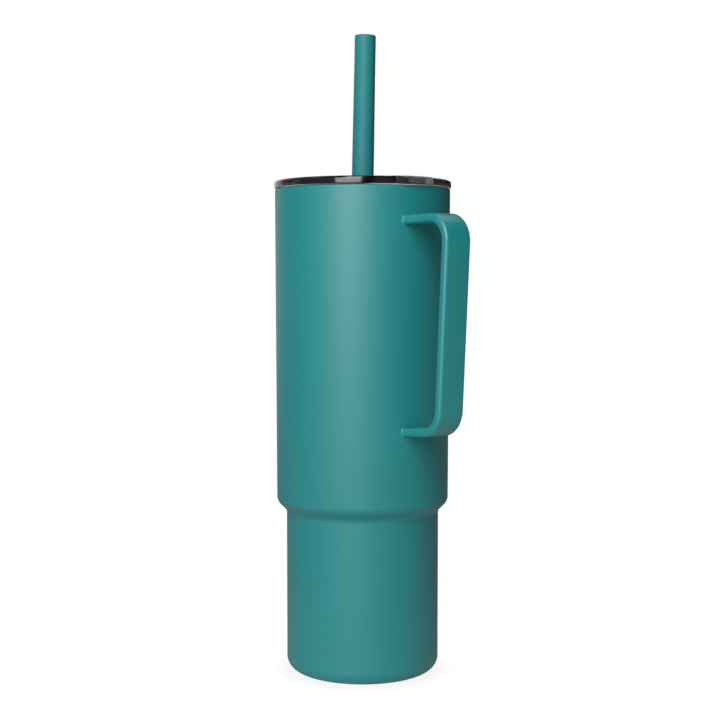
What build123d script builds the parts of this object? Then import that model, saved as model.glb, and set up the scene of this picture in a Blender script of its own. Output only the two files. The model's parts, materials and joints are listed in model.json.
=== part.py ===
from build123d import *
from math import atan, cos, degrees, radians, sin, tan
import os

# Stepped travel tumbler with a double wall, a welded strap handle, a clear press-in lid and
# a leaning straw. Millimetres, +Z up, the handle towards +X. The origin is the centre of the
# ring that the tumbler rests on. A turned section is drawn with radius along X and height
# along Y.

# Outer form: a narrow foot that fits a cup holder, a 45 degree step and a wide upper body
# that opens slightly towards the rim.
RIM_Z, RIM_R, RIM_ROLL = 250.5, 45.3, 1.0
CREST_Z, CREST_R, CREST_BEND = 89.06, 44.62, 4.6
FOOT_R, FOOT_CORNER = 39.6, 7.0
HOLLOW_Z, HOLLOW_BEND = CREST_Z - (CREST_R - FOOT_R), 3.2

# Double wall: the liner hangs from the rim and stands clear of the shell all the way down.
SHELL_T = 0.7
LINER_T = 0.5
WALL = 3.2
SEAM_R, MOUTH_ROLL = 43.5, 1.2
FLOOR_Z, FLOOR_CORNER = 11.0, 8.0
LINER_STEP_RISE = WALL * tan(radians(22.5))
FOIL_R, FOIL_T = 42.6, 0.15
FOIL_FOOT_Z, FOIL_HEAD_Z = 96.0, 238.0

# Base: the shell's turned-in flange carries a dished pan with the vacuum port at its centre.
FLANGE_R = 30.5
PAN_R, PAN_T, PAN_Z = 32.4, 0.7, 2.2
PAN_FOOT_R, PAN_FLAT_R = 30.0, 29.0
DIMPLE_R, DIMPLE_FLAT_R, DIMPLE_Z = 7.0, 5.8, 3.6
PORT_R = 1.0
BEAD_R, BEAD_DROP = 4.6, 1.0
DISC_R, DISC_T = 28.4, 0.7
GETTER_X, GETTER_R, GETTER_H = 18.0, 4.5, 2.4
CLIP_T, CLIP_W, CLIP_FOOT, CLIP_GAP = 0.4, 4.0, 4.0, 0.05

# Handle: a strap bent to a C and pressed in two hollow halves. Each pair is a corner of the
# side view, as X and Z, where its straight runs would meet.
STRAP_W, STRAP_SHEET, STRAP_EDGE = 15.0, 0.8, 2.0
BACK_TOP, BACK_FOOT = (79.5, 236.5), (73.1, 128.0)
PALM_TOP, PALM_FOOT = (74.25, 231.0), (68.45, 132.95)
BACK_BENDS, PALM_BENDS = (13.5, 14.5), (8.7, 9.5)
ROOT_X = 40.0
TOP_ARM_Z, FOOT_ARM_Z = (235.1, 230.8), (126.0, 130.1)
ROOT_GAIN, ROOT_RISE = 0.25, 0.3
WELD, WELD_LIP, WELD_ROOT_X = 1.7, 0.5, 43.0

# Lid: a clear cap that presses into the mouth, with its deck sunk below a flat flange.
LID_R, LID_GAP, LID_TOP_Z = 45.8, 0.05, 254.5
LID_EDGE_TOP, LID_EDGE_FOOT, DECK_CORNER = 1.3, 0.7, 1.5
DISH_R, DECK_R, DECK_Z, DECK_T = 43.4, 40.6, 248.4, 2.2
SKIRT_R, SKIRT_T, SKIRT_FOOT_Z, SKIRT_LEAD = 41.4, 2.0, 236.5, 0.5
GROOVE_R, GROOVE_FOOT_Z, GROOVE_TOP_Z, GROOVE_WALL = 38.6, 238.5, 243.5, 1.8
TAB_TURN, TAB_SPAN, TAB_R, TAB_RISE = -1.0, 34.0, 47.4, 0.1
TAB_CORNER, TAB_EDGE = 1.5, 0.9
TAB_ROOT_R, TAB_UNDER = 44.0, 0.7
VENT_X, VENT_R, VENT_LIP_R, VENT_LIP_H = -24.0, 1.25, 2.8, 0.8
HOLE_R, HUB_R, HUB_T = 8.2, 11.6, 3.0

# Seals: a gasket with two lips round the skirt, and a spool round the straw.
GASKET_PLAY = 0.1
LIP_R, LIP_ROOT_R, LIP_FLAT = 41.9, 40.5, 0.4
SPOOL_R, SPOOL_LIP, SPOOL_EDGE = 10.2, 1.5, 0.6
STRAW_PLAY = 0.1

# Straw: it leans towards the handle about the lid's centre, and its heights run along it
# from there.
LEAN, LEAN_Z = 1.82, 251.0
STRAW_R, STRAW_TIP_R, STRAW_BORE_R = 5.7, 5.42, 4.0
STRAW_FOOT, STRAW_HEAD = -239.5, 78.1
TAPER_FOOT, TAPER_HEAD = 3.0, STRAW_HEAD - 16.0
TIP_ROUND = 0.8
RING_R, RING_H, RING_TOP, RING_EDGE = 7.4, 3.0, -25.0, 0.7
NOTCH_W, NOTCH_H = 2.6, 4.5


def turned(points, rounds=None, arc=360):
    """Solid turned about Z from a closed outline, with a radius at each corner that rounds names."""
    radii = [(rounds or {}).get(i, 0) for i in range(len(points))]
    outline = FilletPolyline(*points, radius=radii, close=True)
    return revolve(Plane.XZ * make_face(outline), axis=Axis.Z, revolution_arc=arc)


def turned_sheet(line, thickness, side):
    """Sheet metal turned about Z: an open line thickened to one side."""
    section = offset(line, amount=thickness, side=side, kind=Kind.INTERSECTION)
    return revolve(Plane.XZ * make_face(section), axis=Axis.Z)


def leaning(shape):
    """Move a shape drawn along Z from the lid's centre onto the straw's axis."""
    return Location((0, 0, LEAN_Z), (0, LEAN, 0)) * shape


def outer_form():
    """The tumbler's outer form as one solid, for coping the handle, with its seam well round from it."""
    points = [(0, 0), (FOOT_R, 0), (FOOT_R, HOLLOW_Z), (CREST_R, CREST_Z), (RIM_R, RIM_Z), (0, RIM_Z)]
    form = turned(points, {1: FOOT_CORNER, 2: HOLLOW_BEND, 3: CREST_BEND, 4: RIM_ROLL})
    return Rot(0, 0, 120) * form


def outer_shell():
    """Outer wall, turned in under the foot as the resting ring and over the rim to the seam."""
    points = [
        (FLANGE_R, 0),
        (FOOT_R, 0),
        (FOOT_R, HOLLOW_Z),
        (CREST_R, CREST_Z),
        (RIM_R, RIM_Z),
        (SEAM_R, RIM_Z),
    ]
    bends = [FOOT_CORNER, HOLLOW_BEND, CREST_BEND, RIM_ROLL]
    return turned_sheet(FilletPolyline(*points, radius=bends), SHELL_T, Side.LEFT)


def inner_liner():
    """Drinking vessel: a drawn cup with the shell's step, rolled out at the mouth to the seam."""
    points = [
        (0, FLOOR_Z),
        (FOOT_R - WALL, FLOOR_Z),
        (FOOT_R - WALL, HOLLOW_Z + LINER_STEP_RISE),
        (CREST_R - WALL, CREST_Z + LINER_STEP_RISE),
        (RIM_R - WALL, RIM_Z),
        (SEAM_R, RIM_Z),
    ]
    bends = [FLOOR_CORNER, HOLLOW_BEND + WALL, CREST_BEND - LINER_T, MOUTH_ROLL]
    return turned_sheet(FilletPolyline(*points, radius=bends), LINER_T, Side.RIGHT)


def radiation_foil():
    """Reflective foil sleeve round the liner's upper wall."""
    points = [
        (FOIL_R, FOIL_FOOT_Z),
        (FOIL_R + FOIL_T, FOIL_FOOT_Z),
        (FOIL_R + FOIL_T, FOIL_HEAD_Z),
        (FOIL_R, FOIL_HEAD_Z),
    ]
    return turned(points)


def outer_bottom():
    """Dished pan on the shell's flange, with a dimple round the port that the air is drawn out of."""
    points = [
        (PAN_R, SHELL_T),
        (PAN_FOOT_R, SHELL_T),
        (PAN_FLAT_R, PAN_Z),
        (DIMPLE_R, PAN_Z),
        (DIMPLE_FLAT_R, DIMPLE_Z),
        (PORT_R, DIMPLE_Z),
    ]
    return turned_sheet(Polyline(*points), PAN_T, Side.RIGHT)


def vacuum_seal_bead():
    """Solder glass that has run into the port and set as a flat drop in the dimple."""
    low, head = DIMPLE_Z - BEAD_DROP, DIMPLE_Z + PAN_T
    points = [
        (0, low),
        (BEAD_R / 2, low),
        (BEAD_R, DIMPLE_Z),
        (PORT_R, DIMPLE_Z),
        (PORT_R, head),
        (0, head),
    ]
    return turned(points, {1: BEAD_R / 2})


def base_disc():
    """Plain cover over the port, set up inside the resting ring."""
    low = PAN_Z - DISC_T
    return turned([(0, low), (DISC_R, low), (DISC_R, PAN_Z), (0, PAN_Z)])


def getter_pellet():
    """Pressed tablet in the vacuum space that takes up stray gas."""
    tablet = Cylinder(GETTER_R, GETTER_H, align=(Align.CENTER, Align.CENTER, Align.MIN))
    return Pos(GETTER_X, 0, PAN_Z + PAN_T) * chamfer(tablet.edges().filter_by(GeomType.CIRCLE), 0.4)


def getter_clip():
    """Spring steel strap, spot welded to the pan on both sides of the tablet."""
    low = PAN_Z + PAN_T
    high = low + GETTER_H
    side = GETTER_R + CLIP_GAP
    points = [
        (-side - CLIP_FOOT, low),
        (-side, low),
        (-side, high),
        (side, high),
        (side, low),
        (side + CLIP_FOOT, low),
    ]
    line = FilletPolyline(*points, radius=[0.6, 0.15, 0.15, 0.6])
    face = make_face(offset(line, amount=CLIP_T, side=Side.LEFT))
    return Pos(GETTER_X, 0, 0) * extrude(Plane.XZ * face, amount=CLIP_W / 2, both=True)


def strap_side(inset=0.0):
    """Side view of the strap, from inside the body out round the grip and back in."""
    points = [
        (ROOT_X, TOP_ARM_Z[0]),
        BACK_TOP,
        BACK_FOOT,
        (ROOT_X, FOOT_ARM_Z[0]),
        (ROOT_X, FOOT_ARM_Z[1]),
        PALM_FOOT,
        PALM_TOP,
        (ROOT_X, TOP_ARM_Z[1]),
    ]
    bends = [0, *BACK_BENDS, 0, 0, *reversed(PALM_BENDS), 0]
    face = make_face(FilletPolyline(*points, radius=bends, close=True))
    if inset:
        face = offset(face, amount=-inset)
    return Plane.XZ * face


def palm_side():
    """Everything on the palm's side of the strap's middle, which is where its halves meet."""
    middle = [(a + b) / 2 for a, b in zip(BACK_BENDS, PALM_BENDS)]
    points = [
        (ROOT_X - 1, sum(TOP_ARM_Z) / 2),
        tuple((a + b) / 2 for a, b in zip(BACK_TOP, PALM_TOP)),
        tuple((a + b) / 2 for a, b in zip(BACK_FOOT, PALM_FOOT)),
        (ROOT_X - 1, sum(FOOT_ARM_Z) / 2),
    ]
    face = make_face(FilletPolyline(*points, radius=[0, *middle, 0], close=True))
    return extrude(Plane.XZ * face, amount=STRAP_W, both=True)


def rounded_bar(side_view, width, edge):
    """Bar with a given side view, centred on Y, whose long edges are rounded."""
    bar = extrude(side_view, amount=width / 2, both=True)
    long_edges = [e for e in bar.edges() if abs(abs(e.center().Y) - width / 2) < 0.01]
    long_edges = [e for e in long_edges if e.center().X > ROOT_X + 1]
    return fillet(long_edges, edge)


def strap():
    """The whole handle without its hollow, reaching into the body."""
    return rounded_bar(strap_side(), STRAP_W, STRAP_EDGE)


def handle_halves():
    """Back and palm halves of the handle, hollow, coped to the shell."""
    cavity = rounded_bar(strap_side(STRAP_SHEET), STRAP_W - 2 * STRAP_SHEET, STRAP_EDGE - STRAP_SHEET)
    hollow = strap() - cavity - outer_form()
    palm = palm_side()
    return hollow - palm, hollow & palm


def handle_welds():
    """Ground weld beads round the roots of both arms, full at the shell and thin on the arm."""
    form, bar = outer_form(), strap()
    slope = (WELD - WELD_LIP) / WELD
    beads = []
    for arm in (FOOT_ARM_Z, TOP_ARM_Z):
        length = RIM_R + WELD - WELD_ROOT_X
        grow = WELD_LIP + length * slope
        thick = abs(arm[0] - arm[1]) + ROOT_GAIN
        view = RectangleRounded(STRAP_W + 2 * grow, thick + 2 * grow, STRAP_EDGE + grow)
        plane = Plane((WELD_ROOT_X, 0, sum(arm) / 2 + ROOT_RISE), x_dir=(0, 1, 0), z_dir=(1, 0, 0))
        block = extrude(plane * view, amount=length, taper=degrees(atan(slope)))
        beads.append(block - form - bar)
    return beads


def lid_shell():
    """Clear cap: flange with a lift tab, sunk deck, straw hub, vent and grooved skirt."""
    foot = LID_GAP + RIM_Z
    bore = SKIRT_R - SKIRT_T
    throat = GROOVE_R - GROOVE_WALL
    under = DECK_Z - DECK_T
    points = [
        (LID_R - LID_EDGE_FOOT, foot),
        (LID_R, foot + LID_EDGE_FOOT),
        (LID_R, LID_TOP_Z),
        (DISH_R, LID_TOP_Z),
        (DECK_R, DECK_Z),
        (HOLE_R, DECK_Z),
        (HOLE_R, DECK_Z - HUB_T),
        (HUB_R, DECK_Z - HUB_T),
        (HUB_R + 1, under),
        (bore, under),
        (bore, GROOVE_TOP_Z + 1.2),
        (throat, GROOVE_TOP_Z),
        (throat, SKIRT_FOOT_Z),
        (SKIRT_R - SKIRT_LEAD, SKIRT_FOOT_Z),
        (SKIRT_R - SKIRT_LEAD, GROOVE_FOOT_Z),
        (GROOVE_R, GROOVE_FOOT_Z),
        (GROOVE_R, GROOVE_TOP_Z),
        (SKIRT_R, GROOVE_TOP_Z),
        (SKIRT_R, foot),
    ]
    cap = turned(points, {2: LID_EDGE_TOP, 4: DECK_CORNER})
    vent = Pos(VENT_X, 0, DECK_Z - DECK_T)
    cap += vent * Cylinder(VENT_LIP_R, DECK_T + VENT_LIP_H, align=(Align.CENTER, Align.CENTER, Align.MIN))
    cap -= vent * Cylinder(VENT_R, 4 * DECK_T)
    return cap + lift_tab()


def lift_tab():
    """Thumb tab on the flange, proud of its rim and a little of its top."""
    foot, head = RIM_Z + LID_GAP + TAB_UNDER, LID_TOP_Z + TAB_RISE
    half = radians(TAB_SPAN / 2)
    reach = 2 * TAB_R
    far = reach * cos(half), reach * sin(half)
    wedge = make_face(Polyline((0, 0), (far[0], -far[1]), far, (0, 0)))
    plan = (Circle(TAB_R) & wedge) - Circle(TAB_ROOT_R)
    ends = plan.vertices().sort_by(lambda v: Vector(v).length)[-2:]
    tab = Pos(0, 0, foot) * extrude(fillet(ends, TAB_CORNER), amount=head - foot)
    crown = tab.faces().sort_by(Axis.Z)[-1].edges()
    crown = [e for e in crown if e.center().X > TAB_ROOT_R * cos(half)]
    return Rot(0, 0, TAB_TURN) * fillet(crown, TAB_EDGE)


def lid_gasket():
    """Silicone ring in the skirt's groove, with two lips that wipe the liner."""
    low, high = GROOVE_FOOT_Z + GASKET_PLAY, GROOVE_TOP_Z - GASKET_PLAY
    step = (high - low) / 4
    flat = LIP_FLAT / 2
    points = [
        (GROOVE_R, low),
        (LIP_ROOT_R, low),
        (LIP_R, low + step - flat),
        (LIP_R, low + step + flat),
        (LIP_ROOT_R, low + 2 * step),
        (LIP_R, low + 3 * step - flat),
        (LIP_R, low + 3 * step + flat),
        (LIP_ROOT_R, high),
        (GROOVE_R, high),
    ]
    return turned(points)


def straw_grommet():
    """Silicone spool snapped into the lid's hole, bored at the straw's lean."""
    low, high = DECK_Z - HUB_T, DECK_Z
    points = [
        (0, low - SPOOL_LIP),
        (SPOOL_R - SPOOL_EDGE, low - SPOOL_LIP),
        (SPOOL_R, low - SPOOL_LIP + SPOOL_EDGE),
        (SPOOL_R, low),
        (HOLE_R, low),
        (HOLE_R, high),
        (SPOOL_R, high),
        (SPOOL_R, high + SPOOL_LIP - SPOOL_EDGE),
        (SPOOL_R - SPOOL_EDGE, high + SPOOL_LIP),
        (0, high + SPOOL_LIP),
    ]
    spool = turned(points)
    return spool - leaning(Cylinder(STRAW_R + STRAW_PLAY, 40))


def straw():
    """Silicone straw with a stop ring under the lid and a notched foot."""
    points = [
        (STRAW_BORE_R, STRAW_FOOT),
        (STRAW_R, STRAW_FOOT),
        (STRAW_R, RING_TOP - RING_H),
        (RING_R - RING_EDGE, RING_TOP - RING_H),
        (RING_R, RING_TOP - RING_H + RING_EDGE),
        (RING_R, RING_TOP - RING_EDGE),
        (RING_R - RING_EDGE, RING_TOP),
        (STRAW_R, RING_TOP),
        (STRAW_R, TAPER_FOOT),
        (STRAW_TIP_R, TAPER_HEAD),
        (STRAW_TIP_R, STRAW_HEAD),
        (STRAW_BORE_R, STRAW_HEAD),
    ]
    tube = turned(points, {10: TIP_ROUND})
    notch = Pos(0, 0, STRAW_FOOT) * Box(4 * STRAW_R, NOTCH_W, 2 * NOTCH_H)
    return leaning(tube - notch - Rot(0, 0, 90) * notch)


def main():
    """Write every sub-part to its own STEP file."""
    os.makedirs("parts", exist_ok=True)
    back, palm = handle_halves()
    sub_parts = {
        "outer_shell": outer_shell(),
        "inner_liner": inner_liner(),
        "radiation_foil": radiation_foil(),
        "outer_bottom": outer_bottom(),
        "vacuum_seal_bead": vacuum_seal_bead(),
        "base_disc": base_disc(),
        "getter_pellet": getter_pellet(),
        "getter_clip": getter_clip(),
        "handle_outer_half": back,
        "handle_inner_half": palm,
        "handle_welds": Compound(children=handle_welds()),
        "lid_shell": lid_shell(),
        "lid_gasket": lid_gasket(),
        "straw_grommet": straw_grommet(),
        "straw": straw(),
    }
    for node, shape in sub_parts.items():
        export_step(shape, f"parts/{node}.step")


main()
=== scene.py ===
"""Looks of a stepped travel tumbler: coated body, strap handle, clear lid and leaning straw.

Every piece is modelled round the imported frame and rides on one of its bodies. Sizes are in
millimetres in the classes below and in metres in the meshes.
"""

import json
import logging
from dataclasses import dataclass, field
from enum import Enum
from math import acos, atan2, ceil, cos, degrees, hypot, pi, radians, sin, tan
from typing import Any, Callable, Mapping, Optional, Sequence

import bmesh
import bpy
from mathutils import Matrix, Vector


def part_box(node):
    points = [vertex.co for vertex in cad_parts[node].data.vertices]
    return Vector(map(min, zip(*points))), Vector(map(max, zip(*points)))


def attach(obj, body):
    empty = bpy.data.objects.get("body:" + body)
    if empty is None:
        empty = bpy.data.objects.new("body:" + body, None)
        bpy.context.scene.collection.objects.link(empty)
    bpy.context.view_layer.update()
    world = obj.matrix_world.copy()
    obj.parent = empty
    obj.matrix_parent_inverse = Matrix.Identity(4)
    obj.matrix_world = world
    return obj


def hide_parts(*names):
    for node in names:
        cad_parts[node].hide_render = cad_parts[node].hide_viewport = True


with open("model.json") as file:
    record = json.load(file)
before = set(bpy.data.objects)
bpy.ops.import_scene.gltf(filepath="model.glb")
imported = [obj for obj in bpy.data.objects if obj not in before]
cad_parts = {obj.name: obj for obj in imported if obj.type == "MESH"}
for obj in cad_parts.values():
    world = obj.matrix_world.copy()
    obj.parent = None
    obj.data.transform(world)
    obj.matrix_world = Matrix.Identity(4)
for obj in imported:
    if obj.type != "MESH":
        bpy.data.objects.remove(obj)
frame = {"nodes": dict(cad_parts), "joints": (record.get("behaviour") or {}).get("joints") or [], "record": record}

LOG = logging.getLogger("tumbler")
MM = 0.001
NEAR = 0.002
TURN_STEPS = 256
BEND_FACET = 8
SMOOTH_ANGLE = radians(32)


class Body(Enum):
    """Bodies of the frame that a piece can ride on."""

    CUP = "cup"
    LID = "lid"
    STRAW = "straw"


class Slot(Enum):
    """Finishes that the record names."""

    POWDER_COAT = "powder_coat"
    LINER_STEEL = "liner_steel"
    BASE_STEEL = "base_steel"
    FOIL = "foil"
    SEAL_GLASS = "seal_glass"
    GETTER = "getter"
    SPRING_STEEL = "spring_steel"
    CLEAR_PLASTIC = "clear_plastic"
    CLEAR_SILICONE = "clear_silicone"
    TEAL_SILICONE = "teal_silicone"


class Wall(Enum):
    """Side of a turned surface that its sheet metal lies on, by the surface's normals."""

    BEHIND = -1.0
    BEFORE = 1.0


class Joining(Enum):
    """What a tool solid does to the piece it meets."""

    ADD = "UNION"
    CUT = "DIFFERENCE"


# ---------------------------------------------------------------------------------------
# Bench: selecting, turning, thickening and joining
# ---------------------------------------------------------------------------------------


@dataclass(frozen=True)
class Corner:
    """One corner of a turned outline, in millimetres, with the radius it is bent to."""

    r: float
    z: float
    bend: float = 0.0

    def holds(self, place: Vector) -> bool:
        """Say whether a point in metres lies on the ring that this corner turns."""
        return abs(place.z / MM - self.z) < NEAR and abs(hypot(place.x, place.y) / MM - self.r) < NEAR


def take(piece: bpy.types.Object) -> None:
    """Select one piece alone and make it the active one."""
    bpy.ops.object.select_all(action="DESELECT")
    piece.select_set(True)
    bpy.context.view_layer.objects.active = piece


def fresh(name: str, add: Callable[..., Any], **settings: Any) -> bpy.types.Object:
    """Add a primitive with nothing else selected.

    Args:
        name: The new piece's name.
        add: The operator that adds it.
        **settings: The operator's settings.

    Returns:
        The new piece.
    """
    bpy.ops.object.select_all(action="DESELECT")
    add(**settings)
    piece = bpy.context.active_object
    piece.name = piece.data.name = name
    return piece


def open_mesh(piece: bpy.types.Object, mode: str = "EDGE") -> None:
    """Enter edit mode on one piece with nothing in it selected.

    Args:
        piece: The piece to edit.
        mode: Element that the tools then pick: VERT, EDGE or FACE.
    """
    take(piece)
    bpy.ops.object.mode_set(mode="EDIT")
    bpy.ops.mesh.select_mode(type=mode)
    bpy.ops.mesh.select_all(action="DESELECT")


def close_mesh() -> None:
    """Leave edit mode."""
    bpy.ops.object.mode_set(mode="OBJECT")


def pick(piece: bpy.types.Object, kind: str, test: Callable[[Any], bool]) -> int:
    """Select the vertices, edges or faces of an open mesh that pass a test, and no others.

    Args:
        piece: The piece that is in edit mode.
        kind: Which elements are tried: verts, edges or faces.
        test: Says whether one element is wanted.

    Returns:
        The number of elements selected.
    """
    bpy.ops.mesh.select_all(action="DESELECT")
    mesh = bmesh.from_edit_mesh(piece.data)
    found = [element for element in getattr(mesh, kind) if test(element)]
    for element in found:
        element.select_set(True)
    bmesh.update_edit_mesh(piece.data)
    return len(found)


def pick_ring(piece: bpy.types.Object, corner: Corner) -> None:
    """Select the ring of edges that a corner of the outline turned into."""
    pick(piece, "edges", lambda edge: all(corner.holds(v.co) for v in edge.verts))


def draw_out(x: float, y: float, z: float) -> None:
    """Extrude the selected edges along a way given in metres."""
    bpy.ops.mesh.extrude_edges_move(TRANSFORM_OT_translate={"value": (x, y, z)})


def bevel(width: float, segments: int, clamp: bool = False) -> None:
    """Round the selected edges.

    Args:
        width: How far the rounding reaches from each edge, in metres.
        segments: The number of facets across it.
        clamp: Whether roundings that meet are held back.
    """
    bpy.ops.mesh.bevel(
        offset_type="OFFSET", offset=width, segments=segments, affect="EDGES", clamp_overlap=clamp
    )


def face_outwards() -> None:
    """Select all of an open mesh and turn its normals one way, outwards where it is closed."""
    bpy.ops.mesh.select_all(action="SELECT")
    bpy.ops.mesh.normals_make_consistent(inside=False)


def settle(piece: bpy.types.Object) -> bpy.types.Object:
    """Put a piece's place, turn and size into its mesh.

    Args:
        piece: The piece, as it stands.

    Returns:
        The same piece, with its object at the origin.
    """
    take(piece)
    bpy.ops.object.transform_apply(location=True, rotation=True, scale=True)
    return piece


def finish_with(piece: bpy.types.Object, kind: str, **settings: Any) -> None:
    """Add one modifier to a piece and apply it.

    Args:
        piece: The piece to change.
        kind: The modifier's type.
        **settings: Values set on the modifier.
    """
    take(piece)
    modifier = piece.modifiers.new(kind.title(), kind)
    for name, value in settings.items():
        setattr(modifier, name, value)
    bpy.ops.object.modifier_apply(modifier=modifier.name)


def smooth(piece: bpy.types.Object) -> None:
    """Shade a piece smooth, with creases where its faces meet sharply."""
    take(piece)
    bpy.ops.object.shade_smooth_by_angle(angle=SMOOTH_ANGLE)


def join(piece: bpy.types.Object, tool: bpy.types.Object, how: Joining) -> None:
    """Add a tool solid to a piece or cut it out, and throw the tool away.

    Args:
        piece: The piece that is changed.
        tool: The solid that meets it.
        how: Whether the solid is added or cut out.
    """
    finish_with(piece, "BOOLEAN", operation=how.value, solver="EXACT", object=tool)
    bpy.data.objects.remove(tool)


def outline_turn(before: Corner, corner: Corner, after: Corner) -> float:
    """Give the angle by which an outline turns at a corner.

    Args:
        before: The corner before it.
        corner: The corner itself.
        after: The corner after it.

    Returns:
        The turn in radians, from 0 for a straight line.
    """
    into = Vector((corner.r - before.r, corner.z - before.z)).normalized()
    out = Vector((after.r - corner.r, after.z - corner.z)).normalized()
    return acos(max(-1.0, min(1.0, into.dot(out))))


def bend_rings(piece: bpy.types.Object, outline: Sequence[Corner], closed: bool) -> None:
    """Bevel each ring of a turned piece to the radius that its corner asks for.

    Args:
        piece: The piece, in edit mode.
        outline: The outline that it was turned from.
        closed: Whether the outline's last corner leads back to its first.
    """
    count = len(outline)
    for i, corner in enumerate(outline):
        inner = closed or 0 < i < count - 1
        if not corner.bend or not inner:
            continue
        angle = outline_turn(outline[i - 1], corner, outline[(i + 1) % count])
        pick_ring(piece, corner)
        bevel(corner.bend * MM * tan(angle / 2), max(3, ceil(degrees(angle) / BEND_FACET)))


def turned(name: str, outline: Sequence[Corner], closed: bool = False) -> bpy.types.Object:
    """Turn an outline about the Z axis, ring by ring.

    A last corner on the axis closes the surface there, and so does a first one.

    Args:
        name: The piece's name.
        outline: The outline's corners in order.
        closed: Whether the last corner leads back to the first one, as round a ring.

    Returns:
        The turned surface, with its normals all to one side, and outwards where it is closed.
    """
    capped = outline[0].r == 0
    rings = list(outline[1:] if capped else outline)
    first = rings[0]
    circle = {"vertices": TURN_STEPS, "radius": first.r * MM, "fill_type": "NOTHING"}
    piece = fresh(name, bpy.ops.mesh.primitive_circle_add, location=(0, 0, first.z * MM), **circle)
    settle(piece)
    open_mesh(piece)
    bpy.ops.mesh.select_all(action="SELECT")
    if capped:
        draw_out(0, 0, (outline[0].z - first.z) * MM)
        bpy.ops.mesh.merge(type="CENTER")
        pick_ring(piece, first)
    for corner, following in zip(rings, rings[1:] + rings[:1] * closed):
        draw_out(0, 0, (following.z - corner.z) * MM)
        if following.r == 0:
            bpy.ops.mesh.merge(type="CENTER")
        else:
            grow = following.r / corner.r
            bpy.ops.transform.resize(value=(grow, grow, 1), center_override=(0, 0, 0))
    bpy.ops.mesh.select_all(action="SELECT")
    bpy.ops.mesh.remove_doubles(threshold=NEAR * MM / 4)
    bpy.ops.mesh.normals_make_consistent(inside=False)
    bend_rings(piece, outline, closed)
    close_mesh()
    return piece


def turned_sheet(name: str, outline: Sequence[Corner], thickness: float, wall: Wall) -> bpy.types.Object:
    """Turn an open outline and give it the thickness of sheet metal.

    Args:
        name: The piece's name.
        outline: The outline's corners in order.
        thickness: The sheet's thickness in millimetres.
        wall: The side of the turned surface that the sheet lies on.

    Returns:
        The closed wall.
    """
    piece = turned(name, outline)
    finish_with(piece, "SOLIDIFY", thickness=thickness * MM, offset=wall.value, use_even_offset=True)
    return piece


def seat(piece: bpy.types.Object, body: Body, slot: Slot, *nodes: str) -> bpy.types.Object:
    """Hand a finished piece to the frame.

    Args:
        piece: The finished piece.
        body: The body that it rides on.
        slot: The record's slot that it is finished in; not used.
        *nodes: The nodes that it stands for.

    Returns:
        The same piece.
    """
    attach(piece, body.value)
    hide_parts(*nodes)
    LOG.info("%s: %d faces on %s", piece.name, len(piece.data.polygons), body.value)
    return piece


def mount(name: str) -> Mapping[str, Any]:
    """Give the record's mount of that name."""
    return next(m for m in frame["record"]["mounts"] if m["name"] == name)


def head_of(node: str) -> float:
    """Give the height of a node's highest point in millimetres."""
    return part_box(node)[1].z / MM


def foot_of(node: str) -> float:
    """Give the height of a node's lowest point in millimetres."""
    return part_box(node)[0].z / MM


# ---------------------------------------------------------------------------------------
# Finishes
# ---------------------------------------------------------------------------------------


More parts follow.
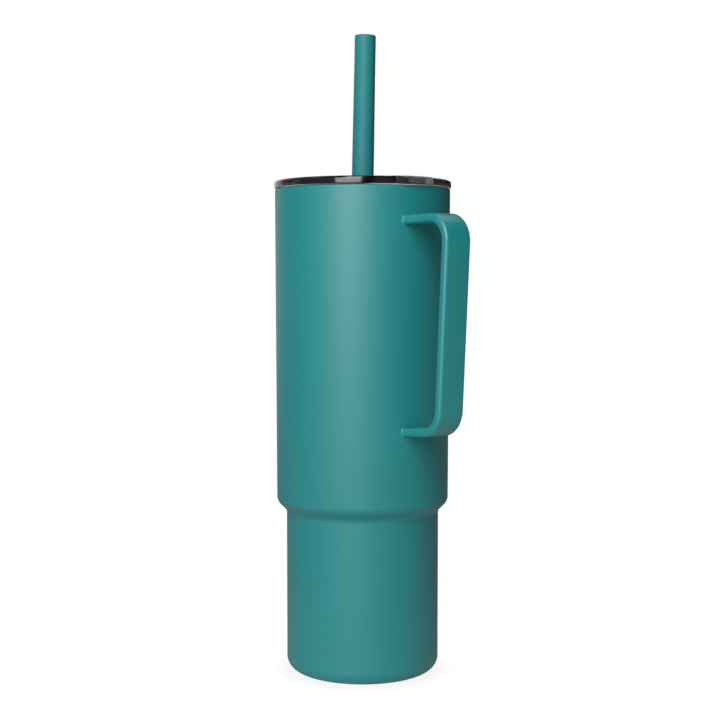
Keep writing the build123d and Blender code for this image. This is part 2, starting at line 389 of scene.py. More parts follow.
class Wiring:
    """Adds nodes to one tree and feeds their sockets."""

    def __init__(self, tree: bpy.types.NodeTree) -> None:
        """Start on a tree."""
        self.tree = tree

    def add(self, kind: str, sockets: Optional[Mapping[Any, Any]] = None, **settings: Any) -> bpy.types.Node:
        """Add one node.

        Args:
            kind: The node's type, without its ShaderNode prefix.
            sockets: Values or other nodes' outputs, by the name or number of the input.
            **settings: Values set on the node itself.

        Returns:
            The new node.
        """
        node = self.tree.nodes.new("ShaderNode" + kind)
        for name, value in settings.items():
            setattr(node, name, value)
        self.feed_all(node.inputs, sockets or {})
        return node

    def feed(self, socket: bpy.types.NodeSocket, value: Any) -> None:
        """Set a socket's value, or link it to another node's output."""
        if isinstance(value, bpy.types.NodeSocket):
            self.tree.links.new(value, socket)
        else:
            socket.default_value = value

    def feed_all(self, inputs: Any, sockets: Mapping[Any, Any]) -> None:
        """Feed several inputs of a node, each by its name or number."""
        for name, value in sockets.items():
            self.feed(inputs[name], value)

    def maths(self, operation: str, *values: Any) -> bpy.types.NodeSocket:
        """Combine numbers.

        Args:
            operation: The operation's name.
            *values: Numbers or outputs, in the operation's order.

        Returns:
            The result's socket.
        """
        return self.add("Math", dict(enumerate(values)), operation=operation).outputs[0]

    def between(self, value: Any, low: float, high: float) -> bpy.types.NodeSocket:
        """Spread a value from 0 to 1 over a range from low to high.

        Args:
            value: The output or number to spread.
            low: The result at 0.
            high: The result at 1.

        Returns:
            The result's socket.
        """
        return self.add("MapRange", {"Value": value, "To Min": low, "To Max": high}).outputs[0]

    def around(self, value: Any, middle: float, below: float, above: float) -> bpy.types.NodeSocket:
        """Spread a value from 0 to 1 over a range from below to above a middle one."""
        return self.between(value, middle - below, middle + above)

    def dot(self, first: Any, second: Any) -> bpy.types.NodeSocket:
        """Give the dot product of two vectors."""
        return self.add("VectorMath", {0: first, 1: second}, operation="DOT_PRODUCT").outputs["Value"]

    def bump(self, height: Any, strength: float, depth: float, under: Any = None) -> bpy.types.NodeSocket:
        """Give the normal of a fine relief.

        Args:
            height: The relief's height, from 0 to 1.
            strength: How much of it shows.
            depth: Its depth in millimetres.
            under: The normal of another relief that it lies on.

        Returns:
            The normal's socket.
        """
        sockets = {"Strength": strength, "Distance": depth * MM, "Height": height}
        if under is not None:
            sockets["Normal"] = under
        return self.add("Bump", sockets).outputs[0]

    def step(self, value: Any, start: float, stop: float, low: float, high: float) -> bpy.types.NodeSocket:
        """Ease a value over from one level to another.

        Args:
            value: The output that is measured.
            start: Where the change starts.
            stop: Where it ends.
            low: The level at the start.
            high: The level at the end.

        Returns:
            The level's socket.
        """
        sockets = {"Value": value, "From Min": start, "From Max": stop, "To Min": low, "To Max": high}
        return self.add("MapRange", sockets, interpolation_type="SMOOTHSTEP").outputs[0]

    def tint(self, share: Any, first: Sequence[float], second: Sequence[float]) -> bpy.types.NodeSocket:
        """Mix two colours.

        Args:
            share: The second colour's share.
            first: The first colour, linear red, green and blue.
            second: The second colour.

        Returns:
            The mixed colour's socket.
        """
        node = self.add("Mix", {0: share, 6: (*first, 1), 7: (*second, 1)}, data_type="RGBA")
        return node.outputs[2]


class Effect:
    """A shader node group that several finishes share, built at its first use."""

    name = "effect"
    takes: Mapping[str, float] = {}
    gives: Sequence[str] = ()

    def tree(self) -> bpy.types.NodeTree:
        """Give the group's tree, building it the first time.

        Returns:
            The node tree that the finishes place.
        """
        known = bpy.data.node_groups.get(self.name)
        if known:
            return known
        tree = bpy.data.node_groups.new(self.name, "ShaderNodeTree")
        tree.interface.new_socket("Vector", in_out="INPUT", socket_type="NodeSocketVector")
        for socket, value in self.takes.items():
            made = tree.interface.new_socket(socket, in_out="INPUT", socket_type="NodeSocketFloat")
            made.default_value = value
        for socket in self.gives:
            tree.interface.new_socket(socket, in_out="OUTPUT", socket_type="NodeSocketFloat")
        source = tree.nodes.new("NodeGroupInput").outputs
        result = tree.nodes.new("NodeGroupOutput").inputs
        self.fill(Wiring(tree), source, result)
        return tree

    def fill(self, wiring: Wiring, source: Any, result: Any) -> None:
        """Build the group between its inputs and outputs.

        Args:
            wiring: Adds nodes to the group.
            source: The group's inputs, as sockets that give.
            result: The group's outputs, as sockets that take.
        """
        raise NotImplementedError


class Grain(Effect):
    """Fine even grain of sprayed powder or of a matte mould, with a slow unevenness."""

    name = "fine_grain"
    takes = {"Grain size": 0.4, "Waviness size": 3.0}
    gives = ("Grain", "Waviness")

    def fill(self, wiring: Wiring, source: Any, result: Any) -> None:
        """Make both from noise whose sizes are in millimetres.

        Args:
            wiring: Adds nodes to the group.
            source: The group's inputs.
            result: The group's outputs.
        """
        for size, given, detail in (("Grain size", "Grain", 2.0), ("Waviness size", "Waviness", 1.0)):
            scale = wiring.maths("DIVIDE", 1 / MM, source[size])
            sockets = {"Vector": source["Vector"], "Scale": scale, "Detail": detail, "Roughness": 0.5}
            noise = wiring.add("TexNoise", sockets)
            wiring.feed(result[given], noise.outputs["Fac"])


class Brushing(Effect):
    """Lines that a belt or a lathe leaves round a turned piece of steel."""

    name = "turned_brushing"
    takes = {"Line width": 0.25, "Line length": 40.0}
    gives = ("Lines", "Bands")
    usual_radius = 45.0
    band_share = 0.12

    def fill(self, wiring: Wiring, source: Any, result: Any) -> None:
        """Stretch noise round the axis: fine across the lines and long along them.

        Args:
            wiring: Adds nodes to the group.
            source: The group's inputs.
            result: The group's outputs.
        """
        place = wiring.add("SeparateXYZ", {0: source["Vector"]}).outputs
        squares = [wiring.maths("POWER", place[i], 2.0) for i in range(2)]
        radius = wiring.maths("SQRT", wiring.maths("ADD", *squares))
        safe = wiring.maths("MAXIMUM", radius, MM)
        round_it = [wiring.maths("DIVIDE", place[i], safe) for i in range(2)]
        reach = wiring.maths("DIVIDE", self.usual_radius, source["Line length"])
        along = [wiring.maths("MULTIPLY", part, reach) for part in round_it]
        width = wiring.maths("MULTIPLY", source["Line width"], MM)
        across = wiring.maths("DIVIDE", wiring.maths("ADD", place[2], radius), width)
        for given, share in (("Lines", 1.0), ("Bands", self.band_share)):
            height = wiring.maths("MULTIPLY", across, share)
            vector = wiring.add("CombineXYZ", {0: along[0], 1: along[1], 2: height}).outputs[0]
            noise = wiring.add("TexNoise", {"Vector": vector, "Scale": 1.0, "Detail": 3.0})
            wiring.feed(result[given], noise.outputs["Fac"])


def placed(wiring: Wiring, effect: Effect, **values: float) -> bpy.types.bpy_prop_collection:
    """Place a shared effect in a finish, on the piece's own coordinates.

    Args:
        wiring: The finish's tree.
        effect: The effect to place.
        **values: The effect's inputs, with spaces written as underscores.

    Returns:
        The placed group's outputs.
    """
    group = wiring.tree.nodes.new("ShaderNodeGroup")
    group.node_tree = effect.tree()
    wiring.feed(group.inputs["Vector"], wiring.add("TexCoord").outputs["Object"])
    for name, value in values.items():
        wiring.feed(group.inputs[name.replace("_", " ")], value)
    return group.outputs


@dataclass(frozen=True)
class Finish:
    """A material: its name and the shader's values.

    A bump is given as its strength and its depth in millimetres, a spread as how far the
    roughness goes below and above its middle, and a size in millimetres.
    """

    name: str

    def material(self) -> bpy.types.Material:
        """Give the finish's material, building it the first time.

        Returns:
            The material.
        """
        known = bpy.data.materials.get(self.name)
        if known:
            return known
        made = bpy.data.materials.new(self.name)
        made.use_nodes = True
        self.build(Wiring(made.node_tree), made.node_tree.nodes["Principled BSDF"].inputs)
        return made

    def build(self, wiring: Wiring, shader: Any) -> None:
        """Set the shader's sockets.

        Args:
            wiring: Adds nodes to the material.
            shader: The Principled shader's inputs.
        """
        raise NotImplementedError

    def dress(self, *pieces: bpy.types.Object) -> None:
        """Make this the only finish of each piece."""
        for piece in pieces:
            piece.data.materials.clear()
            piece.data.materials.append(self.material())

    def cover(self, piece: bpy.types.Object, test: Callable[[Any], bool]) -> None:
        """Put this finish on some faces of a piece that has another one.

        Args:
            piece: The piece.
            test: Says whether a face is one of them.
        """
        piece.data.materials.append(self.material())
        open_mesh(piece, "FACE")
        pick(piece, "faces", test)
        piece.active_material_index = len(piece.data.materials) - 1
        bpy.ops.object.material_slot_assign()
        close_mesh()


@dataclass(frozen=True)
class PowderCoat(Finish):
    """Matte teal powder coat: an even fine grain over a faint orange peel."""

    colour: tuple = (0.0092, 0.255, 0.262)
    shade: tuple = (0.006, 0.216, 0.224)
    roughness: float = 0.5
    spread: tuple = (0.05, 0.05)
    specular: float = 0.8
    grain: float = 0.5
    peel: float = 2.6
    grain_bump: tuple = (0.45, 0.025)
    peel_bump: tuple = (0.3, 0.05)

    def build(self, wiring: Wiring, shader: Any) -> None:
        """Vary colour, gloss and height with the grain.

        Args:
            wiring: Adds nodes to the material.
            shader: The Principled shader's inputs.
        """
        effect = placed(wiring, Grain(), Grain_size=self.grain, Waviness_size=self.peel)
        peel = wiring.bump(effect["Waviness"], *self.peel_bump)
        sockets = {
            "Base Color": wiring.tint(effect["Grain"], self.shade, self.colour),
            "Roughness": wiring.around(effect["Grain"], self.roughness, *self.spread),
            "Specular IOR Level": self.specular,
            "Normal": wiring.bump(effect["Grain"], *self.grain_bump, peel),
        }
        wiring.feed_all(shader, sockets)


@dataclass(frozen=True)
class Steel(Finish):
    """Stainless steel with the lines of its brushing or spinning."""

    colour: tuple = (0.52, 0.51, 0.49)
    line_shade: float = 0.86
    roughness: float = 0.3
    spread: tuple = (0.08, 0.1)
    line_width: float = 0.22
    line_length: float = 40.0
    line_bump: tuple = (0.5, 0.012)

    def build(self, wiring: Wiring, shader: Any) -> None:
        """Vary gloss, tint and height with the brushing's lines.

        Args:
            wiring: Adds nodes to the material.
            shader: The Principled shader's inputs.
        """
        effect = placed(wiring, Brushing(), Line_width=self.line_width, Line_length=self.line_length)
        dark = tuple(self.line_shade * part for part in self.colour)
        sockets = {
            "Base Color": wiring.tint(effect["Lines"], dark, self.colour),
            "Metallic": 1.0,
            "Roughness": wiring.around(effect["Bands"], self.roughness, *self.spread),
            "Normal": wiring.bump(effect["Lines"], *self.line_bump),
        }
        wiring.feed_all(shader, sockets)


@dataclass(frozen=True)
class ClearPlastic(Finish):
    """Clear moulded copolyester with the flow of the mould.

    It is painted darker where it is looked straight through, a painted shade, and goes over to its colour
    towards a glancing view, a painted lighter reflection, between the two shares in turning.
    """

    painted_face_on_shade: tuple
    colour: tuple = (0.8, 0.78, 0.82)
    turning: tuple = (0.28, 0.6)
    roughness: float = 0.1
    spread: tuple = (0.02, 0.03)
    ior: float = 1.54
    specular: float = 0.33
    scuff: float = 1.2
    flow: float = 14.0
    flow_bump: tuple = (0.25, 0.05)

    def build(self, wiring: Wiring, shader: Any) -> None:
        """Paint shade and reflection into its colour by the angle of view, and let the surface wave and scuff a
        little.

        Args:
            wiring: Adds nodes to the material.
            shader: The Principled shader's inputs.
        """
        effect = placed(wiring, Grain(), Grain_size=self.scuff, Waviness_size=self.flow)
        facing = wiring.add("LayerWeight", {"Blend": 0.5}).outputs["Facing"]
        # Painted shade face-on and painted reflection at a glancing view: the colour goes from the darker to the
        # lighter one as the view glances.
        glancing = wiring.step(facing, *self.turning, 0.0, 1.0)
        sockets = {
            "Base Color": wiring.tint(glancing, self.painted_face_on_shade, self.colour),
            "IOR": self.ior,
            "Specular IOR Level": self.specular,
            "Transmission Weight": 1.0,
            "Roughness": wiring.around(effect["Grain"], self.roughness, *self.spread),
            "Normal": wiring.bump(effect["Waviness"], *self.flow_bump),
        }
        wiring.feed_all(shader, sockets)


@dataclass(frozen=True)
class Silicone(Finish):
    """Matte silicone rubber, solid or milky."""

    colour: tuple = (0.0175, 0.228, 0.236)
    shade: tuple = (0.015, 0.209, 0.217)
    roughness: float = 0.55
    spread: tuple = (0.05, 0.07)
    transmission: float = 0.0
    ior: float = 1.41
    specular: float = 0.55
    bloom: float = 0.3
    mottle: float = 5.0
    bloom_bump: tuple = (0.3, 0.015)

    def build(self, wiring: Wiring, shader: Any) -> None:
        """Give it the fine bloom of a matte mould.

        Args:
            wiring: Adds nodes to the material.
            shader: The Principled shader's inputs.
        """
        effect = placed(wiring, Grain(), Grain_size=self.bloom, Waviness_size=self.mottle)
        sockets = {
            "Base Color": wiring.tint(effect["Waviness"], self.shade, self.colour),
            "Roughness": wiring.around(effect["Grain"], self.roughness, *self.spread),
            "Specular IOR Level": self.specular,
            "IOR": self.ior,
            "Transmission Weight": self.transmission,
            "Normal": wiring.bump(effect["Grain"], *self.bloom_bump),
        }
        wiring.feed_all(shader, sockets)


@dataclass(frozen=True)
class Foil(Finish):
    """Thin aluminium foil, creased where it was wrapped."""

    dark: tuple = (0.62, 0.62, 0.63)
    light: tuple = (0.8, 0.8, 0.81)
    crease: float = 6.0
    gloss: tuple = (0.16, 0.3)
    crease_bump: tuple = (0.5, 0.1)

    def build(self, wiring: Wiring, shader: Any) -> None:
        """Crease it with the edges of Voronoi cells.

        Args:
            wiring: Adds nodes to the material.
            shader: The Principled shader's inputs.
        """
        place = wiring.add("TexCoord").outputs["Object"]
        sockets = {"Vector": place, "Scale": 1 / (self.crease * MM)}
        cells = wiring.add("TexVoronoi", sockets, feature="DISTANCE_TO_EDGE").outputs["Distance"]
        sockets = {
            "Base Color": wiring.tint(cells, self.dark, self.light),
            "Metallic": 1.0,
            "Roughness": wiring.between(cells, *self.gloss),
            "Normal": wiring.bump(cells, *self.crease_bump),
        }
        wiring.feed_all(shader, sockets)


@dataclass(frozen=True)
class Pressed(Finish):
    """Dark pressed powder or set solder glass, speckled all through."""

    dark: tuple = (0.02, 0.02, 0.021)
    light: tuple = (0.09, 0.088, 0.085)
    speck: float = 0.35
    roughness: float = 0.75
    spread: tuple = (0.08, 0.08)
    speck_bump: tuple = (0.4, 0.03)

    def build(self, wiring: Wiring, shader: Any) -> None:
        """Speckle it with cells as large as its powder.

        Args:
            wiring: Adds nodes to the material.
            shader: The Principled shader's inputs.
        """
        place = wiring.add("TexCoord").outputs["Object"]
        sockets = {"Vector": place, "Scale": 1 / (self.speck * MM)}
        cells = wiring.add("TexVoronoi", sockets).outputs["Distance"]
        sockets = {
            "Base Color": wiring.tint(cells, self.dark, self.light),
            "Roughness": wiring.around(cells, self.roughness, *self.spread),
            "Normal": wiring.bump(cells, *self.speck_bump),
        }
        wiring.feed_all(shader, sockets)


POWDER_COAT = PowderCoat("powder_coat_teal")
# Lighter copy of the teal coat for the strap: its lighter colour is painted light on the strap's faces; its lower
# roughness and stronger gloss are settings of the finish.
STRAP_COAT_PAINTED_LIGHT = PowderCoat(
    "powder_coat_teal_strap",
    colour=(0.0135, 0.28, 0.287),
    shade=(0.009, 0.238, 0.246),
    roughness=0.42,
    specular=1.0,
)
LINER_STEEL = Steel("liner_steel_brushed")
BASE_STEEL = Steel("base_steel_spun", roughness=0.34, line_width=0.3, line_length=70.0)
SPRING_STEEL = Steel("spring_steel_rolled", colour=(0.42, 0.42, 0.42), roughness=0.26)
CLEAR_PLASTIC = ClearPlastic("clear_plastic_moulded", painted_face_on_shade=(0.62, 0.62, 0.64))
# Near-black copy of the clear plastic for the flange's outer edge: painted shade where the edge is seen face-on,
# going over to a painted lighter reflection at a glancing view.
RIM_PAINTED_SHADE_PLASTIC = ClearPlastic("clear_plastic_rim", painted_face_on_shade=(0.006, 0.0062, 0.0075))
CLEAR_SILICONE = Silicone(
    "clear_silicone_milky",
    colour=(0.78, 0.8, 0.79),
    shade=(0.72, 0.74, 0.73),
    roughness=0.4,
    transmission=0.7,
)
TEAL_SILICONE = Silicone("teal_silicone_matte")
FOIL = Foil("foil_creased")
SEAL_GLASS = Pressed(
    "seal_glass_grey",
    dark=(0.05, 0.05, 0.045),
    light=(0.1, 0.1, 0.09),
    speck=0.6,
    roughness=0.2,
)
GETTER = Pressed("getter_powder")


# ---------------------------------------------------------------------------------------
# The vessel
# ---------------------------------------------------------------------------------------


@dataclass
class Vessel:
    """Double wall of the tumbler: the coated shell, the liner, and the base that closes them."""

    rim_z: float = field(default_factory=lambda: head_of("outer_shell"))
    rim_r: float = 45.3
    rim_roll: float = 1.0
    crest_z: float = 89.06
    crest_r: float = 44.62
    crest_bend: float = 4.6
    step_slope: float = 45.0
    foot_r: float = field(default_factory=lambda: mount("cup_holder_foot")["dims"]["r_mm"])
    foot_corner: float = 7.0
    hollow_bend: float = 3.2
    flange_r: float = 30.5
    shell_sheet: float = 0.7
    wall: float = 3.2
    liner_sheet: float = 0.5
    seam_r: float = 43.5
    mouth_roll: float = 1.2
    floor_z: float = 11.0
    floor_corner: float = 8.0
    pan_r: float = 32.4
    pan_foot_r: float = 30.0
    pan_flat_r: float = 29.0
    pan_bend: float = 0.5
    dimple_r: float = 7.0
    dimple_flat_r: float = 5.8
    dimple_z: float = 3.6
    dimple_bend: float = 0.6
    port_r: float = 1.0
    cover_r: float = 28.4
    cover_edge: float = 0.2
    coat_end_r: float = 43.9

    @property
    def hollow_z(self) -> float:
        """Height of the step's inner corner, where its 45 degree cone leaves the foot."""
        return self.crest_z - (self.crest_r - self.foot_r)

    def build(self) -> None:
        """Make and dress the four pieces and the small ones inside the wall."""
        self.dress_shell(self.build_shell())
        LINER_STEEL.dress(self.build_liner())
        BASE_STEEL.dress(self.build_pan(), self.build_cover())
        self.dress_inside()

    def build_shell(self) -> bpy.types.Object:
        """Turn the outer wall from the flange under the foot to the seam on the rim.

        Returns:
            The shell.
        """
        outline = [
            Corner(self.flange_r, 0),
            Corner(self.foot_r, 0, self.foot_corner),
            Corner(self.foot_r, self.hollow_z, self.hollow_bend),
            Corner(self.crest_r, self.crest_z, self.crest_bend),
            Corner(self.rim_r, self.rim_z, self.rim_roll),
            Corner(self.seam_r, self.rim_z),
        ]
        shell = turned_sheet("coated_shell", outline, self.shell_sheet, Wall.BEHIND)
        smooth(shell)
        return seat(shell, Body.CUP, Slot.POWDER_COAT, "outer_shell")

    def dress_shell(self, shell: bpy.types.Object) -> None:
        """Coat the shell, and leave the steel bare on top of the rim and inside the wall.

        Args:
            shell: The shell.
        """
        POWDER_COAT.dress(shell)
        top, inward = (self.rim_z - self.shell_sheet) * MM, self.coat_end_r * MM

        def bare(face: bmesh.types.BMFace) -> bool:
            """Say whether a face lies on the rim inside the coating's end."""
            centre = face.calc_center_median()
            return centre.z > top and hypot(centre.x, centre.y) < inward

        LINER_STEEL.cover(shell, bare)

    def build_liner(self) -> bpy.types.Object:
        """Turn the drinking vessel, stepped as the shell is, with its sheet on the drink's side.

        Returns:
            The liner.
        """
        step_rise = self.wall * tan(radians(self.step_slope / 2))
        outline = [
            Corner(self.seam_r, self.rim_z),
            Corner(self.rim_r - self.wall, self.rim_z, self.mouth_roll),
            Corner(self.crest_r - self.wall, self.crest_z + step_rise, self.crest_bend - self.liner_sheet),
            Corner(self.foot_r - self.wall, self.hollow_z + step_rise, self.hollow_bend + self.wall),
            Corner(self.foot_r - self.wall, self.floor_z, self.floor_corner),
            Corner(0, self.floor_z),
        ]
        liner = turned_sheet("drinking_liner", outline, self.liner_sheet, Wall.BEFORE)
        smooth(liner)
        return seat(liner, Body.CUP, Slot.LINER_STEEL, "inner_liner")

    def build_pan(self) -> bpy.types.Object:
        """Turn the dished pan with the port's dimple at its centre.

        Returns:
            The pan.
        """
        cover_z = foot_of("base_disc") + self.shell_sheet
        outline = [
            Corner(self.pan_r, self.shell_sheet),
            Corner(self.pan_foot_r, self.shell_sheet, self.pan_bend),
            Corner(self.pan_flat_r, cover_z, self.pan_bend),
            Corner(self.dimple_r, cover_z, self.dimple_bend),
            Corner(self.dimple_flat_r, self.dimple_z, self.dimple_bend),
            Corner(self.port_r, self.dimple_z),
        ]
        pan = turned_sheet("base_pan", outline, self.shell_sheet, Wall.BEHIND)
        smooth(pan)
        return seat(pan, Body.CUP, Slot.BASE_STEEL, "outer_bottom")

    def build_cover(self) -> bpy.types.Object:
        """Turn the plain disc over the port, with its edge broken.

        Returns:
            The cover disc.
        """
        low, high = foot_of("base_disc"), head_of("base_disc")
        outline = [
            Corner(0, low),
            Corner(self.cover_r, low, self.cover_edge),
            Corner(self.cover_r, high, self.cover_edge),
            Corner(0, high),
        ]
        cover = turned("base_cover", outline)
        smooth(cover)
        return seat(cover, Body.CUP, Slot.BASE_STEEL, "base_disc")

    def dress_inside(self) -> None:
        """Finish the small pieces in the vacuum space, which keep their CAD shape."""
        nodes = frame["nodes"]
        FOIL.dress(nodes["radiation_foil"])
        SEAL_GLASS.dress(nodes["vacuum_seal_bead"])
        GETTER.dress(nodes["getter_pellet"])
        SPRING_STEEL.dress(nodes["getter_clip"])


# ---------------------------------------------------------------------------------------
# The handle
# ---------------------------------------------------------------------------------------


@dataclass
class StrapHandle:
    """Strap bent to a C, with both roots ground and coated into the shell.

    The middle line is given in the plane y = 0 by the two corners where its straight runs
    would meet and by the two roots, each as x and z in millimetres.
    """

    top_root: tuple = (45.0, 233.15)
    top_corner: tuple = (76.875, 233.8)
    foot_corner: tuple = (70.6, 130.475)
    foot_root: tuple = (45.0, 128.3)
    top_bend: float = 11.4
    foot_bend: float = 12.0
    width: float = 15.4
    thickness: float = 4.45
    root_thickness: float = 4.4
    edge: float = 1.6
    blend: float = 0.35
    blend_steps: int = 7
    blend_lift: float = 0.02
    buried: float = 0.35
    bend_steps: int = 28
    edge_steps: int = 7
    edge_turn: float = radians(50)

    def build(self, shell: bpy.types.Object) -> bpy.types.Object:
        """Sweep the strap, round its edges and flare its roots onto the shell.

        Args:
            shell: The coated shell that the roots blend into.

        Returns:
            The handle.
        """
        handle = self.sweep()
        self.round_edges(handle)
        self.flare(handle, shell, Vector((*self.top_root, 0)).xzy)
        self.flare(handle, shell, Vector((*self.foot_root, 0)).xzy)
        smooth(handle)
        # The strap gets the lighter copy of the coat: painted light.
        STRAP_COAT_PAINTED_LIGHT.dress(handle)
        nodes = ("handle_outer_half", "handle_inner_half", "handle_welds")
        return seat(handle, Body.CUP, Slot.POWDER_COAT, *nodes)

    def sweep(self) -> bpy.types.Object:
        """Draw the strap's section along its runs and bends, open at both roots.

        Returns:
            The strap with square edges.
        """
        points = (self.top_root, self.top_corner, self.foot_corner, self.foot_root)
        roots = [Vector(point) for point in points]
        start = roots[0] + (roots[1] - roots[0]).normalized() * self.blend
        end = roots[3] + (roots[2] - roots[3]).normalized() * self.blend
        place = (start.x * MM, 0, start.y * MM)
        plane = bpy.ops.mesh.primitive_plane_add
        strap = fresh("strap_handle", plane, size=1, location=place, rotation=(0, pi / 2, 0))
        strap.scale = (self.root_thickness * MM, self.width * MM, 1)
        settle(strap)
        open_mesh(strap)
        bpy.ops.mesh.select_all(action="SELECT")
        bpy.ops.mesh.delete(type="ONLY_FACE")
        bpy.ops.mesh.select_all(action="SELECT")
        swell = self.thickness / self.root_thickness
        here = self.run(start, roots[1], roots[2], self.top_bend, swell)
        here = self.bend(here, roots[1], roots[2], roots[0], self.top_bend)
        here = self.run(here, roots[2], roots[3], self.foot_bend, 1.0)
        here = self.bend(here, roots[2], roots[3], roots[1], self.foot_bend)
        self.extrude(end - here, 1 / swell)
        close_mesh()
        return strap

    def extrude(self, way: Vector, swell: float) -> None:
        """Extrude the selected section along a way in the plane of the strap, and swell its thickness.

        Args:
            way: The way as x and z in millimetres.
            swell: The section's new thickness over its old one.
        """
        draw_out(way.x * MM, 0, way.y * MM)
        bpy.ops.transform.resize(value=(1, 1, swell))

    def run(self, here: Vector, corner: Vector, beyond: Vector, bend: float, swell: float) -> Vector:
        """Extrude the section to where the next bend starts.

        Args:
            here: Where the section is now.
            corner: The corner ahead.
            beyond: The corner or root after it.
            bend: The bend's middle radius.
            swell: The section's new thickness over its old one.

        Returns:
            Where the section is then.
        """
        into, out = (corner - here).normalized(), (beyond - corner).normalized()
        reach = bend * tan(into.angle(out) / 2)
        stop = corner - into * reach
        self.extrude(stop - here, swell)
        return stop

    def bend(self, here: Vector, corner: Vector, beyond: Vector, behind: Vector, bend: float) -> Vector:
        """Spin the section round a bend.

        Args:
            here: Where the section is now.
            corner: The corner that it goes round.
            beyond: The corner or root after it.
            behind: The corner or root before it.
            bend: The bend's middle radius.

        Returns:
            Where the section is then.
        """
        into, out = (corner - behind).normalized(), (beyond - corner).normalized()
        turn = into.angle(out)
        centre = here + Vector((into.y, -into.x)) * bend
        bpy.ops.mesh.spin(
            steps=self.bend_steps,
            angle=-turn,
            center=(centre.x * MM, 0, centre.y * MM),
            axis=(0, 1, 0),
        )
        return corner + out * bend * tan(turn / 2)

    def round_edges(self, strap: bpy.types.Object) -> None:
        """Round the strap's four long edges.

        Args:
            strap: The swept strap.
        """
        open_mesh(strap)
        face_outwards()
        bpy.ops.mesh.select_all(action="DESELECT")
        bpy.ops.mesh.edges_select_sharp(sharpness=self.edge_turn)
        bevel(self.edge * MM, self.edge_steps)
        close_mesh()

    def flare(self, strap: bpy.types.Object, shell: bpy.types.Object, root: Vector) -> None:
        """Spread one open end of the strap onto the shell in a concave blend, and close it inside.

        Args:
            strap: The strap.
            shell: The shell that the end meets.
            root: Where the strap's middle line meets the shell, in millimetres.
        """
        rise, spread = self.root_thickness, self.width
        reach = (root.x + self.blend + 1) * MM

        def near_root(vert: bmesh.types.BMVert) -> bool:
            """Say whether a vertex is at this end of the strap."""
            return vert.co.x < reach and abs(vert.co.z - root.z * MM) < rise * MM

        open_mesh(strap)
        pick(strap, "edges", lambda e: e.is_boundary and all(near_root(v) for v in e.verts))
        self.hold(strap, self.blend)
        grown = 0.0
        for step in range(1, self.blend_steps + 1):
            angle = pi / 2 * step / self.blend_steps
            growth = self.blend * (1 - cos(angle))
            wider = (spread + 2 * growth) / (spread + 2 * grown)
            taller = (rise + 2 * growth) / (rise + 2 * grown)
            draw_out(0, 0, 0)
            bpy.ops.transform.resize(value=(1, wider, taller))
            self.hold(strap, self.blend * (1 - sin(angle)) + self.blend_lift)
            grown = growth
        draw_out(0, 0, 0)
        self.hold(strap, -self.buried)
        bpy.ops.mesh.edge_face_add()
        close_mesh()
        for height in [group.name for group in strap.vertex_groups]:
            finish_with(
                strap,
                "SHRINKWRAP",
                target=shell,
                wrap_method="PROJECT",
                wrap_mode="ABOVE_SURFACE",
                use_project_x=True,
                use_positive_direction=False,
                use_negative_direction=True,
                offset=float(height) * MM,
                vertex_group=height,
            )
        strap.vertex_groups.clear()

    @staticmethod
    def hold(strap: bpy.types.Object, height: float) -> None:
        """Put the selected ring in a group named for its height above the shell in millimetres."""
        strap.vertex_groups.active = strap.vertex_groups.new(name=f"{height:.4f}")
        bpy.ops.object.vertex_group_assign()


# ---------------------------------------------------------------------------------------
# The lid
# ---------------------------------------------------------------------------------------


